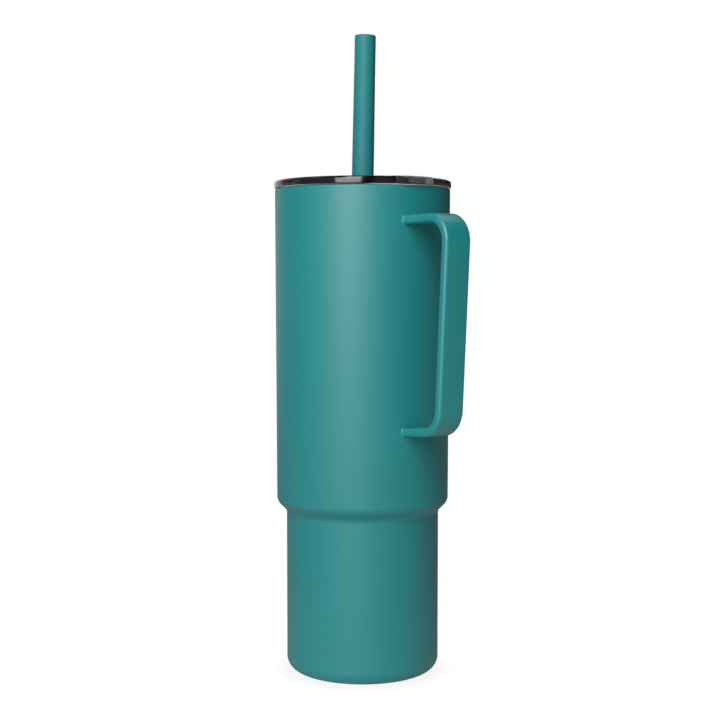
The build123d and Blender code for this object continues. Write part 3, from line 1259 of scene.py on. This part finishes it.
@dataclass
class PressInLid:
    """Clear lid with its lift tab and vent, and the two silicone seals that it carries."""

    flange_r: float = 45.8
    flange_foot_z: float = field(default_factory=lambda: head_of("outer_shell") + 0.05)
    flange_top_z: float = 254.5
    edge_foot: float = 0.25
    edge_top: float = 1.3
    edge_play: float = 0.15
    edge_facing: float = 0.6
    mould_edge: float = 0.15
    seat_edge: float = 0.2
    foot_edge: float = 0.3
    soft_edge: float = 0.4
    dish_r: float = 43.4
    deck_r: float = 40.6
    deck_z: float = 248.4
    deck_t: float = 2.2
    deck_corner: float = 1.5
    hole_r: float = 8.2
    hub_r: float = 11.6
    hub_t: float = 3.0
    hub_slope: float = 1.0
    skirt_r: float = 41.4
    skirt_bore_r: float = 39.4
    skirt_foot_z: float = field(default_factory=lambda: foot_of("lid_shell"))
    skirt_lead: float = 0.5
    groove_r: float = 38.6
    groove_foot_z: float = 238.5
    groove_top_z: float = 243.5
    throat_r: float = 36.8
    throat_rise: float = 1.2
    throat_bend: float = 0.5
    under_corner: float = 0.6
    tab_turn: float = -1.0
    tab_span: float = 34.0
    tab_r: float = 47.4
    tab_root_r: float = 44.0
    tab_under: float = 0.7
    tab_sunk: float = 0.3
    tab_ease: int = 11
    tab_edge: float = 0.9
    tab_edge_steps: int = 5
    tab_hidden: float = 0.3
    tab_skin: float = 0.05
    tab_ring_play: float = 0.3
    vent_x: float = -24.0
    vent_r: float = 1.25
    vent_lip_r: float = 2.8
    vent_lip_h: float = 0.8
    vent_lip_edge: float = 0.3
    vent_lip_foot: float = 0.05
    vent_hole_reach: float = 1.0
    lip_r: float = 41.9
    lip_root_r: float = 40.5
    lip_edge: float = 0.25
    lip_valley: float = 0.3
    seal_play: float = 0.1
    seal_fit: float = 0.04
    spool_r: float = 10.2
    spool_lip: float = 1.5
    spool_play: float = 0.03
    spool_edge: float = 0.6
    bore_r: float = 5.8
    bore_reach: float = 20.0

    def build(self, lean: float, lean_z: float) -> None:
        """Make and dress the clear lid, its seal and the straw's seal.

        Args:
            lean: The straw's lean towards the handle in radians.
            lean_z: The height on the lid's axis that the straw's axis passes through.
        """
        self.dress_cap(self.build_cap())
        CLEAR_SILICONE.dress(self.build_seal(), self.build_spool(lean, lean_z))

    def build_cap(self) -> bpy.types.Object:
        """Turn the cap, and join the tab and the vent to it.

        Returns:
            The clear lid.
        """
        under = self.deck_z - self.deck_t
        outline = [
            Corner(self.flange_r - self.edge_foot, self.flange_foot_z, self.mould_edge),
            Corner(self.flange_r, self.flange_foot_z + self.edge_foot, self.foot_edge),
            Corner(self.flange_r, self.flange_top_z, self.edge_top),
            Corner(self.dish_r, self.flange_top_z, self.soft_edge),
            Corner(self.deck_r, self.deck_z, self.deck_corner),
            Corner(self.hole_r, self.deck_z, self.mould_edge),
            Corner(self.hole_r, self.deck_z - self.hub_t, self.mould_edge),
            Corner(self.hub_r, self.deck_z - self.hub_t, self.seat_edge),
            Corner(self.hub_r + self.hub_slope, under, self.soft_edge),
            Corner(self.skirt_bore_r, under, self.under_corner),
            Corner(self.skirt_bore_r, self.groove_top_z + self.throat_rise, self.throat_bend),
            Corner(self.throat_r, self.groove_top_z, self.throat_bend),
            Corner(self.throat_r, self.skirt_foot_z, self.soft_edge),
            Corner(self.skirt_r - self.skirt_lead, self.skirt_foot_z, self.soft_edge),
            Corner(self.skirt_r - self.skirt_lead, self.groove_foot_z, self.mould_edge),
            Corner(self.groove_r, self.groove_foot_z, self.mould_edge),
            Corner(self.groove_r, self.groove_top_z, self.mould_edge),
            Corner(self.skirt_r, self.groove_top_z, self.seat_edge),
            Corner(self.skirt_r, self.flange_foot_z, self.seat_edge),
        ]
        cap = turned("clear_lid", outline, closed=True)
        join(cap, self.build_tab(), Joining.ADD)
        join(cap, self.plug("vent_lip", self.vent_lip_r, self.vent_lip_h, self.vent_lip_edge), Joining.ADD)
        join(cap, self.plug("vent_hole", self.vent_r, 2 * self.deck_t, 0), Joining.CUT)
        smooth(cap)
        return seat(cap, Body.LID, Slot.CLEAR_PLASTIC, "lid_shell")

    def dress_cap(self, cap: bpy.types.Object) -> None:
        """Make the cap clear, and give its flange's outer edge a near-black painted shade, with a painted lighter
        reflection towards a glancing view.

        Args:
            cap: The cap.
        """
        CLEAR_PLASTIC.dress(cap)

        def edge(face: bmesh.types.BMFace) -> bool:
            """Say whether a face is on the flange's edge, off the tab, and looks outwards."""
            centre = face.calc_center_median()
            out = Vector((centre.x, centre.y, 0))
            reach = out.length / MM - self.flange_r
            outwards = face.normal.dot(out.normalized()) > self.edge_facing
            return -self.edge_top < reach < self.edge_play and outwards

        # Painted shade on the flange's outer faces, off the tab.
        RIM_PAINTED_SHADE_PLASTIC.cover(cap, edge)

    def build_tab(self) -> bpy.types.Object:
        """Spin the tab's section round the rim, and round its far corners and its crown.

        Returns:
            The tab as a closed solid.
        """
        low, high = self.flange_foot_z + self.tab_under, head_of("lid_shell")
        start = radians(self.tab_turn - self.tab_span / 2)
        middle = (self.tab_root_r + self.tab_r) / 2
        place = (middle * cos(start) * MM, middle * sin(start) * MM, (low + high) / 2 * MM)
        plane = bpy.ops.mesh.primitive_plane_add
        tab = fresh("lift_tab", plane, size=1, location=place, rotation=(pi / 2, 0, start))
        tab.scale = ((self.tab_r - self.tab_root_r) * MM, (high - low) * MM, 1)
        settle(tab)
        open_mesh(tab, "FACE")
        bpy.ops.mesh.select_all(action="SELECT")
        steps, angle = round(self.tab_span), -radians(self.tab_span)
        bpy.ops.mesh.spin(steps=steps, angle=angle, center=(0, 0, 0), axis=(0, 0, 1))
        bpy.ops.mesh.select_mode(type="VERT")
        bpy.ops.mesh.select_all(action="SELECT")
        bpy.ops.mesh.remove_doubles(threshold=NEAR * MM)
        face_outwards()
        for ring in range(self.tab_ease):
            self.ease_tab(tab, ring)
        bpy.ops.mesh.select_mode(type="EDGE")
        inner = (self.tab_root_r + self.tab_hidden) * MM
        top = (high - 0.01) * MM

        def crown(edge: bmesh.types.BMEdge) -> bool:
            """Say whether an edge runs round the tab's top, off the side that the rim hides."""
            places = [vert.co for vert in edge.verts]
            outer = any(hypot(place.x, place.y) > inner for place in places)
            return outer and all(place.z > top for place in places) and self.sharp(edge)

        pick(tab, "edges", crown)
        bevel(self.tab_edge * MM, self.tab_edge_steps)
        close_mesh()
        return tab

    def ease_tab(self, tab: bpy.types.Object, ring: int) -> None:
        """Draw in the tab's outer face at both ends, so that it swells out of the rim.

        Args:
            tab: The tab, in edit mode.
            ring: How many degrees inside each end to work.
        """
        start = self.flange_r - self.tab_sunk
        reach = start + (self.tab_r - start) * ring / self.tab_ease
        place = self.tab_span / 2 - ring

        def outside(vert: bmesh.types.BMVert) -> bool:
            """Say whether a vertex is on the tab's outer face at that place."""
            angle = abs(degrees(atan2(vert.co.y, vert.co.x)) - self.tab_turn)
            outer = hypot(vert.co.x, vert.co.y) > (self.tab_r - self.tab_skin) * MM
            return outer and abs(angle - place) < self.tab_ring_play

        pick(tab, "verts", outside)
        shrink = reach / self.tab_r
        bpy.ops.transform.resize(value=(shrink, shrink, 1), center_override=(0, 0, 0))

    @staticmethod
    def sharp(edge: bmesh.types.BMEdge) -> bool:
        """Say whether the faces on an edge's two sides meet at more than half a right angle."""
        return edge.is_manifold and edge.calc_face_angle() > pi / 4

    def plug(self, name: str, radius: float, rise: float, edge: float) -> bpy.types.Object:
        """Turn a short solid plug that stands through the deck at the vent.

        Args:
            name: The plug's name.
            radius: Its radius.
            rise: How far it stands out above the deck.
            edge: The rounding of its upper edge.

        Returns:
            The plug, in place.
        """
        low = self.deck_z - self.deck_t + (self.vent_lip_foot if edge else -self.vent_hole_reach)
        high = self.deck_z + rise
        outline = [Corner(0, low), Corner(radius, low), Corner(radius, high, edge), Corner(0, high)]
        plug = turned(name, outline)
        plug.location.x = self.vent_x * MM
        return settle(plug)

    def build_seal(self) -> bpy.types.Object:
        """Turn the skirt's seal with its two wiping lips.

        Returns:
            The seal.
        """
        low, high = self.groove_foot_z + self.seal_play, self.groove_top_z - self.seal_play
        step = (high - low) / 4
        inner = self.groove_r + self.seal_fit
        outline = [
            Corner(inner, low, self.mould_edge),
            Corner(self.lip_root_r, low, self.mould_edge),
            Corner(self.lip_r, low + step, self.lip_edge),
            Corner(self.lip_root_r, low + 2 * step, self.lip_valley),
            Corner(self.lip_r, low + 3 * step, self.lip_edge),
            Corner(self.lip_root_r, high, self.mould_edge),
            Corner(inner, high, self.mould_edge),
        ]
        seal = turned("lid_seal", outline, closed=True)
        smooth(seal)
        return seat(seal, Body.LID, Slot.CLEAR_SILICONE, "lid_gasket")

    def build_spool(self, lean: float, lean_z: float) -> bpy.types.Object:
        """Turn the spool in the lid's hole, and bore it at the straw's lean.

        Args:
            lean: The straw's lean in radians.
            lean_z: The height that the straw's axis passes through.

        Returns:
            The straw's seal.
        """
        low, high = self.deck_z - self.hub_t - self.spool_play, self.deck_z + self.spool_play
        waist = self.hole_r - self.seal_fit
        outline = [
            Corner(0, low - self.spool_lip),
            Corner(self.spool_r, low - self.spool_lip, self.spool_edge),
            Corner(self.spool_r, low, self.mould_edge),
            Corner(waist, low),
            Corner(waist, high),
            Corner(self.spool_r, high, self.mould_edge),
            Corner(self.spool_r, high + self.spool_lip, self.spool_edge),
            Corner(0, high + self.spool_lip),
        ]
        spool = turned("straw_seal", outline)
        ends = (-self.bore_reach, self.bore_reach)
        outline = [Corner(0, ends[0]), *(Corner(self.bore_r, end) for end in ends), Corner(0, ends[1])]
        bore = turned("seal_bore", outline)
        bore.rotation_euler.y = lean
        bore.location.z = lean_z * MM
        join(spool, settle(bore), Joining.CUT)
        smooth(spool)
        return seat(spool, Body.LID, Slot.CLEAR_SILICONE, "straw_grommet")


# ---------------------------------------------------------------------------------------
# The straw
# ---------------------------------------------------------------------------------------


@dataclass
class DrinkingStraw:
    """Silicone straw that leans through the lid. Its heights run along its own axis."""

    radius: float = 5.7
    tip_r: float = field(default_factory=lambda: mount("straw_tip")["dims"]["r_mm"])
    bore_r: float = field(default_factory=lambda: mount("straw_bore")["dims"]["r_mm"])
    foot: float = -239.5
    head: float = 78.1
    taper_foot: float = 3.0
    taper_head: float = 62.1
    tip_round: float = 0.8
    bore_edge: float = 0.25
    mouth_edge: float = 0.35
    soft_edge: float = 0.4
    ring_r: float = 7.4
    ring_h: float = 3.0
    ring_top: float = -25.0
    ring_edge: float = 0.7
    notch_w: float = 2.6
    notch_h: float = 4.5
    notch_round: float = 0.45
    notch_steps: int = 6
    lean_z: float = 251.0

    @property
    def lean(self) -> float:
        """Lean towards the handle in radians, from the straw's own joint."""
        joint = next(j for j in frame["joints"] if j["child"] == Body.STRAW.value)
        return atan2(joint["axis"][0], joint["axis"][2])

    def build(self) -> bpy.types.Object:
        """Turn the straw upright, notch its foot, lean it and dress it.

        Returns:
            The straw.
        """
        ring_low = self.ring_top - self.ring_h
        outline = [
            Corner(self.bore_r, self.foot, self.bore_edge),
            Corner(self.radius, self.foot, self.soft_edge),
            Corner(self.radius, ring_low, self.soft_edge),
            Corner(self.ring_r, ring_low, self.ring_edge),
            Corner(self.ring_r, self.ring_top, self.ring_edge),
            Corner(self.radius, self.ring_top, self.soft_edge),
            Corner(self.radius, self.taper_foot, 0),
            Corner(self.tip_r, self.taper_head, 0),
            Corner(self.tip_r, self.head, self.tip_round),
            Corner(self.bore_r, self.head, self.mouth_edge),
        ]
        straw = turned("drinking_straw", outline, closed=True)
        for turn in (0, pi / 2):
            join(straw, self.build_notch(turn), Joining.CUT)
        smooth(straw)
        straw.rotation_euler.y = self.lean
        straw.location.z = self.lean_z * MM
        settle(straw)
        TEAL_SILICONE.dress(straw)
        return seat(straw, Body.STRAW, Slot.TEAL_SILICONE, "straw")

    def build_notch(self, turn: float) -> bpy.types.Object:
        """Make the bar that cuts one pair of notches, with a rounded top.

        Args:
            turn: The bar's turn about the straw's axis in radians.

        Returns:
            The bar, in place.
        """
        bar = fresh("notch_bar", bpy.ops.mesh.primitive_cube_add, size=1, location=(0, 0, self.foot * MM))
        bar.scale = (4 * self.radius * MM, self.notch_w * MM, 2 * self.notch_h * MM)
        settle(bar)

        def upper(edge: bmesh.types.BMEdge) -> bool:
            """Say whether an edge runs along the bar at its top."""
            one, two = (vert.co for vert in edge.verts)
            return min(one.z, two.z) > self.foot * MM and abs(one.y - two.y) < NEAR * MM

        open_mesh(bar)
        pick(bar, "edges", upper)
        bevel(self.notch_round * self.notch_w * MM, self.notch_steps, clamp=True)
        close_mesh()
        bar.rotation_euler.z = turn
        return settle(bar)


# ---------------------------------------------------------------------------------------
# The studio
# ---------------------------------------------------------------------------------------


@dataclass(frozen=True)
class SoftBox:
    """A rectangular lamp aimed at a point of the object."""

    name: str
    place: tuple
    aim: tuple
    size: tuple
    power: float

    def hang(self) -> None:
        """Add the lamp."""
        lamp = bpy.data.lights.new(self.name, "AREA")
        lamp.shape = "RECTANGLE"
        lamp.size, lamp.size_y = self.size
        lamp.energy = self.power
        holder = bpy.data.objects.new(self.name, lamp)
        bpy.context.scene.collection.objects.link(holder)
        holder.location = self.place
        holder.rotation_euler = (Vector(self.aim) - Vector(self.place)).to_track_quat("-Z", "Y").to_euler()


@dataclass
class Studio:
    """White sweep, soft boxes and the camera.

    A fade is given as where it starts and stops, and its levels there. The floor's fades
    run over metres from the object's axis, or over metres towards one side of the room, and
    the world's over a direction's rise or its cosine to one side. A lobe is a turn in degrees
    to the camera's right and a strength.
    """

    camera_place: tuple = (0.5879, -0.4225, 0.2040)
    camera_turn: tuple = (radians(86.68), 0.0, radians(54.4))
    lens: float = 69.5
    view_turn: float = radians(54.4)
    aim: tuple = (0.0, 0.0, 0.16)
    floor_size: float = 6.0
    floor_z: float = -0.0002
    floor_colour: tuple = (0.6, 0.6, 0.6, 1)
    near_glow: tuple = (0.1, 0.2, 0.1, 0.0)
    far_glow: tuple = (1.2, 1.6, 0.0, 0.13)
    left_share: tuple = (-0.8, 0.4, 0.25, 1.0)
    shadow: tuple = (0.037, 0.05, 0.11, 0.0)
    mirrored_floor: tuple = (0.8, 1.6, 0.0, 1.0)
    room_level: float = 0.004
    lobes: tuple = ((-140, 0.2), (-90, 0.09))
    lobe_power: float = 8.0
    backdrop_turn: float = -158
    backdrop: tuple = (0.8, 0.98, 0.0, 1.0)
    horizon: tuple = (0.12, 0.4, 1.0, 0.08)

    def towards(self, turn: float, distance: float, height: float) -> tuple:
        """Give a place round the object, with its turn counted from the camera's to its right.

        Args:
            turn: Degrees to the camera's right.
            distance: Distance from the object's axis in metres.
            height: Height in metres.

        Returns:
            The place.
        """
        angle = self.view_turn + radians(turn)
        return (distance * sin(angle), -distance * cos(angle), height)

    def build(self) -> None:
        """Set up everything that isn't part of the object."""
        self.build_camera()
        self.build_floor()
        self.build_world()
        SoftBox("key_box", self.towards(-13, 2.4, 2.0), self.aim, (0.95, 1.9), 43.5).hang()
        SoftBox("near_box", self.towards(-13, 0.42, 0.56), (0, 0, 0.24), (0.2, 0.22), 0.46).hang()
        SoftBox("bank_box", self.towards(-18, 2.4, 0.75), self.aim, (1.45, 1.05), 27.5).hang()
        SoftBox("left_box", self.towards(-70, 0.8, 0.85), self.aim, (0.3, 0.3), 0.45).hang()
        SoftBox("rear_box", self.towards(148, 0.5, 1.08), self.aim, (0.5, 0.25), 1.2).hang()

    def build_camera(self) -> None:
        """Add the camera."""
        lens = bpy.data.cameras.new("camera")
        lens.lens = self.lens
        camera = bpy.data.objects.new("camera", lens)
        bpy.context.scene.collection.objects.link(camera)
        camera.location = self.camera_place
        camera.rotation_euler = self.camera_turn
        bpy.context.scene.camera = camera

    def build_floor(self) -> None:
        """Add the floor, white to the camera but for a ring round the object's axis where the lit floor is mixed
        in: partly the object's real shadow, partly painted shadow.
        """
        plane = bpy.ops.mesh.primitive_plane_add
        floor = fresh("studio_floor", plane, size=self.floor_size, location=(0, 0, self.floor_z))
        made = bpy.data.materials.new("sweep_white")
        made.use_nodes = True
        wiring = Wiring(made.node_tree)
        made.node_tree.nodes.remove(made.node_tree.nodes["Principled BSDF"])
        lit = wiring.add("BsdfDiffuse", {"Color": self.floor_colour}).outputs[0]
        place = wiring.add("TexCoord").outputs["Object"]
        reach = wiring.add("VectorMath", {0: place}, operation="LENGTH").outputs["Value"]
        leftwards = wiring.dot(place, self.towards(-90, 1, 0))
        behind = wiring.dot(place, self.towards(180, 1, 0))
        share = wiring.step(leftwards, *self.left_share)
        far = wiring.maths("MULTIPLY", wiring.step(reach, *self.far_glow), share)
        level = wiring.maths("ADD", wiring.step(reach, *self.near_glow), far)
        bounce = self.white(wiring, "Emission", level)
        table = wiring.add("AddShader", {0: lit, 1: bounce}).outputs[0]
        # Within this ring the lit floor shows, darker than the white beyond it: a painted contact shadow round the
        # axis, with the real shadow in it.
        contact = wiring.step(reach, *self.shadow)
        glow = self.white(wiring, "Emission", 1.0)
        bright = wiring.add("MixShader", {0: contact, 1: glow, 2: lit}).outputs[0]
        rays = wiring.add("LightPath").outputs
        mirrored = wiring.maths("MULTIPLY", rays["Is Glossy Ray"], wiring.step(behind, *self.mirrored_floor))
        seen = wiring.maths("MAXIMUM", rays["Is Camera Ray"], rays["Is Transmission Ray"])
        seen = wiring.maths("MAXIMUM", seen, mirrored)
        above = wiring.add("MixShader", {0: seen, 1: table, 2: bright}).outputs[0]
        under = wiring.add("NewGeometry").outputs["Backfacing"]
        sides = {0: under, 1: above, 2: wiring.add("BsdfTransparent").outputs[0]}
        surface = wiring.add("MixShader", sides).outputs[0]
        wiring.feed(made.node_tree.nodes["Material Output"].inputs["Surface"], surface)
        floor.data.materials.append(made)

    @staticmethod
    def white(wiring: Wiring, kind: str, strength: Any) -> bpy.types.NodeSocket:
        """Add a white emission or background of some strength, and give its output."""
        return wiring.add(kind, {"Color": (1, 1, 1, 1), "Strength": strength}).outputs[0]

    def build_world(self) -> None:
        """Fill the room: white to the camera, and dimly lit from behind and from its left."""
        world = bpy.data.worlds.new("studio")
        bpy.context.scene.world = world
        world.use_nodes = True
        wiring = Wiring(world.node_tree)
        way = wiring.add("TexCoord").outputs["Generated"]
        rise = wiring.add("SeparateXYZ", {0: way}).outputs[2]
        level = self.room_level
        for turn, strength in self.lobes:
            lobe = wiring.maths("POWER", self.facing(wiring, way, turn), self.lobe_power)
            level = wiring.maths("MULTIPLY_ADD", lobe, strength, level)
        backdrop = wiring.step(self.facing(wiring, way, self.backdrop_turn), *self.backdrop)
        horizon = wiring.step(rise, *self.horizon)
        rays = wiring.add("LightPath").outputs
        mirrored = wiring.maths("MULTIPLY", rays["Is Glossy Ray"], backdrop)
        through = wiring.maths("MULTIPLY", rays["Is Transmission Ray"], horizon)
        seen = wiring.maths("MAXIMUM", rays["Is Camera Ray"], wiring.maths("MAXIMUM", mirrored, through))
        room, bright = (self.white(wiring, "Background", strength) for strength in (level, 1.0))
        both = wiring.add("MixShader", {0: seen, 1: room, 2: bright}).outputs[0]
        wiring.feed(world.node_tree.nodes["World Output"].inputs["Surface"], both)

    def facing(self, wiring: Wiring, way: bpy.types.NodeSocket, turn: float) -> bpy.types.NodeSocket:
        """Say how nearly a direction points towards one side of the room.

        Args:
            wiring: Adds nodes to the world.
            way: The direction.
            turn: The side, in degrees to the camera's right.

        Returns:
            The cosine of the angle between them, and 0 past a right angle.
        """
        side = Vector(self.towards(turn, 1, 0.1)).normalized()
        return wiring.maths("MAXIMUM", wiring.dot(way, tuple(side)), 0.0)


def main() -> None:
    """Build the tumbler's sub-assemblies in order, then the studio."""
    logging.basicConfig(level=logging.INFO, format="%(name)s %(message)s")
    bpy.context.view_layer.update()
    Vessel().build()
    StrapHandle().build(bpy.data.objects["coated_shell"])
    straw = DrinkingStraw()
    PressInLid().build(straw.lean, straw.lean_z)
    straw.build()
    Studio().build()
    bpy.context.scene.view_settings.view_transform = "Standard"


if __name__ == "__main__":
    main()
